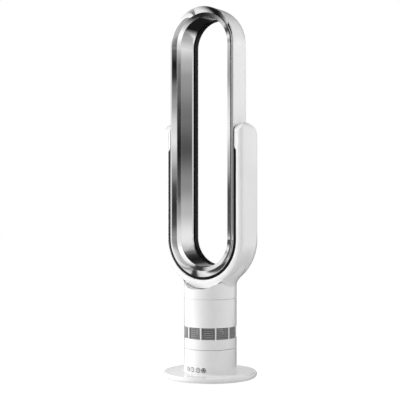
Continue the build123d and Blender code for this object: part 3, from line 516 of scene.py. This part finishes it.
def make_floor():
    """White floor that keeps the fan's shadow, with a brightness of its own in reflections."""
    mesh = bpy.data.meshes.new("floor")
    form = bmesh.new()
    bmesh.ops.create_circle(form, cap_ends=True, segments=FLOOR_SIDES, radius=FLOOR_RADIUS)
    form.to_mesh(mesh)
    form.free()
    floor = add_object("floor", mesh)
    material, graph, paper = new_material("floor_paper")
    tint = graph.tinted(graph.noise(PAPER_TINT_SCALE), grey(0.80), grey(0.82))
    graph.feed(paper.inputs["Base Color"], tint)
    graph.feed(paper.inputs["Roughness"], PAPER_ROUGHNESS)
    path = graph.add("ShaderNodeLightPath")
    camera_ray = path.outputs["Is Camera Ray"]
    lit = graph.add("ShaderNodeEmission")
    level = graph.mixed(camera_ray, floor_in_reflections(graph), FLOOR_SEEN)
    graph.feed(lit.inputs["Strength"], level)
    seen = graph.maths("MULTIPLY", camera_ray, FLOOR_SHARE)
    graph.show(graph.maths("MAXIMUM", seen, graph.reflected(path)), paper, lit)
    mesh.materials.append(material)


def make_card(name, faces, distance, azimuth, half_width, edge, stops):
    """Upright graded card with soft edges, seen only in reflections."""
    low = stops[0][0]
    high = stops[-1][0]
    mesh = bpy.data.meshes.new(name)
    mesh.from_pydata([(-half_width, 0, low), (half_width, 0, low), (half_width, 0, high),
                      (-half_width, 0, high)], [], [(0, 1, 2, 3)])
    card = add_object(name, mesh)
    card.location = Vector((*faces, 0)) + polar(azimuth, distance)
    card.rotation_euler = (0, 0, radians(azimuth))
    card.visible_camera = False
    card.visible_diffuse = False
    card.visible_shadow = False
    material, graph, shader = new_material(name)
    graph.nodes.remove(shader)
    spot = graph.place()
    height = graph.along(spot, (0, 0, 1))
    aside = graph.maths("ABSOLUTE", graph.along(spot, (1, 0, 0)))
    solid = graph.step(aside, half_width, edge * half_width)
    for end, inner in ((low, low + CARD_ENDS), (high, high - CARD_ENDS)):
        solid = graph.maths("MULTIPLY", solid, graph.step(height, end, inner))
    clear = graph.add("ShaderNodeBsdfTransparent")
    lit = graph.add("ShaderNodeEmission")
    graph.feed(lit.inputs["Strength"], graph.profile(height, HEIGHT_SPAN, stops))
    graph.show(solid, clear, lit)
    mesh.materials.append(material)


def make_world():
    """Plain surrounding light: white to the camera, and a soft studio in reflections."""
    world = bpy.data.worlds.new("world")
    bpy.context.scene.world = world
    graph = Graph(world)
    direction = graph.add("ShaderNodeTexCoord").outputs["Generated"]
    slope = graph.along(direction, (0, 0, 1))
    studio = graph.profile(slope, SLOPE_SPAN, STUDIO_ROUND)
    for azimuth, half_width, stops in STUDIO:
        rim = cos(radians(half_width * ZONE_RIM))
        core = cos(radians(half_width * ZONE_CORE))
        inside = graph.step(graph.along(direction, polar(azimuth, 1.0)), rim, core)
        studio = graph.mixed(inside, studio, graph.profile(slope, SLOPE_SPAN, stops))
    bearing = graph.maths("ARCTAN2", graph.along(direction, (1, 0, 0)),
                          graph.along(direction, (0, -1, 0)))
    above = graph.profile(bearing, pi, [(radians(angle), level) for angle, level in STUDIO_ABOVE])
    studio = graph.mixed(graph.step(slope, *STEEP_STEP), studio, above)
    path = graph.add("ShaderNodeLightPath")
    strength = graph.mixed(graph.reflected(path), WORLD_LIGHT, studio)
    background = graph.nodes["Background"]
    background.inputs["Color"].default_value = (1, 1, 1, 1)
    white_to_camera = graph.mixed(path.outputs["Is Camera Ray"], strength, 1.0)
    graph.feed(background.inputs["Strength"], white_to_camera)


def add_lamp(name, size, brightness):
    """A rectangular lamp with a face of the given brightness."""
    data = bpy.data.lights.new(name, "AREA")
    data.shape = "RECTANGLE"
    data.size, data.size_y = size
    data.energy = brightness * pi * size[0] * size[1]
    return add_object(name, data)


def make_glow(name, stops):
    """A small lamp in front of the loop's left corner, seen only in reflections."""
    low = stops[0][0]
    high = stops[-1][0]
    lamp = add_lamp(name, (GLOW_WIDTH, high - low), 1.0)
    lamp.location = (*GLOW_SPOT, (low + high) / 2)
    lamp.rotation_euler = polar(GLOW_AZIMUTH, 1.0).to_track_quat("Z", "Y").to_euler()
    lamp.visible_camera = False
    lamp.visible_diffuse = False
    graph = Graph(lamp.data)
    spot = graph.add("ShaderNodeNewGeometry").outputs["Position"]
    inside = graph.step(graph.along(spot, (1, 0, 0)), *GLOW_STEP)
    level = graph.profile(graph.along(spot, (0, 0, 1)), HEIGHT_SPAN, stops)
    graph.feed(graph.nodes["Emission"].inputs["Strength"], graph.maths("MULTIPLY", inside, level))


def make_softbox(name, azimuth, distance, height, size, brightness, aim):
    """A large lamp that faces the fan's axis and doesn't show in reflections."""
    lamp = add_lamp(name, size, brightness)
    lamp.location = polar(azimuth, distance, height)
    lamp.rotation_euler = (Vector((0, 0, aim)) - lamp.location).to_track_quat("-Z", "Y").to_euler()
    lamp.visible_glossy = False


bpy.context.scene.view_settings.view_transform = "Standard"
make_camera()
make_floor()
for card_name, card_plan in CARDS.items():
    make_card(card_name, **card_plan)
make_world()
for glow_name, glow_stops in GLOWS.items():
    make_glow(glow_name, glow_stops)
for lamp_name, lamp_plan in SOFTBOXES.items():
    make_softbox(lamp_name, **lamp_plan)
finish_table = make_finishes()
dress_nodes(finish_table)
for mark_name, mark_plan in MARKS.items():
    make_mark(mark_name, finish_table["dark_trim"], **mark_plan)
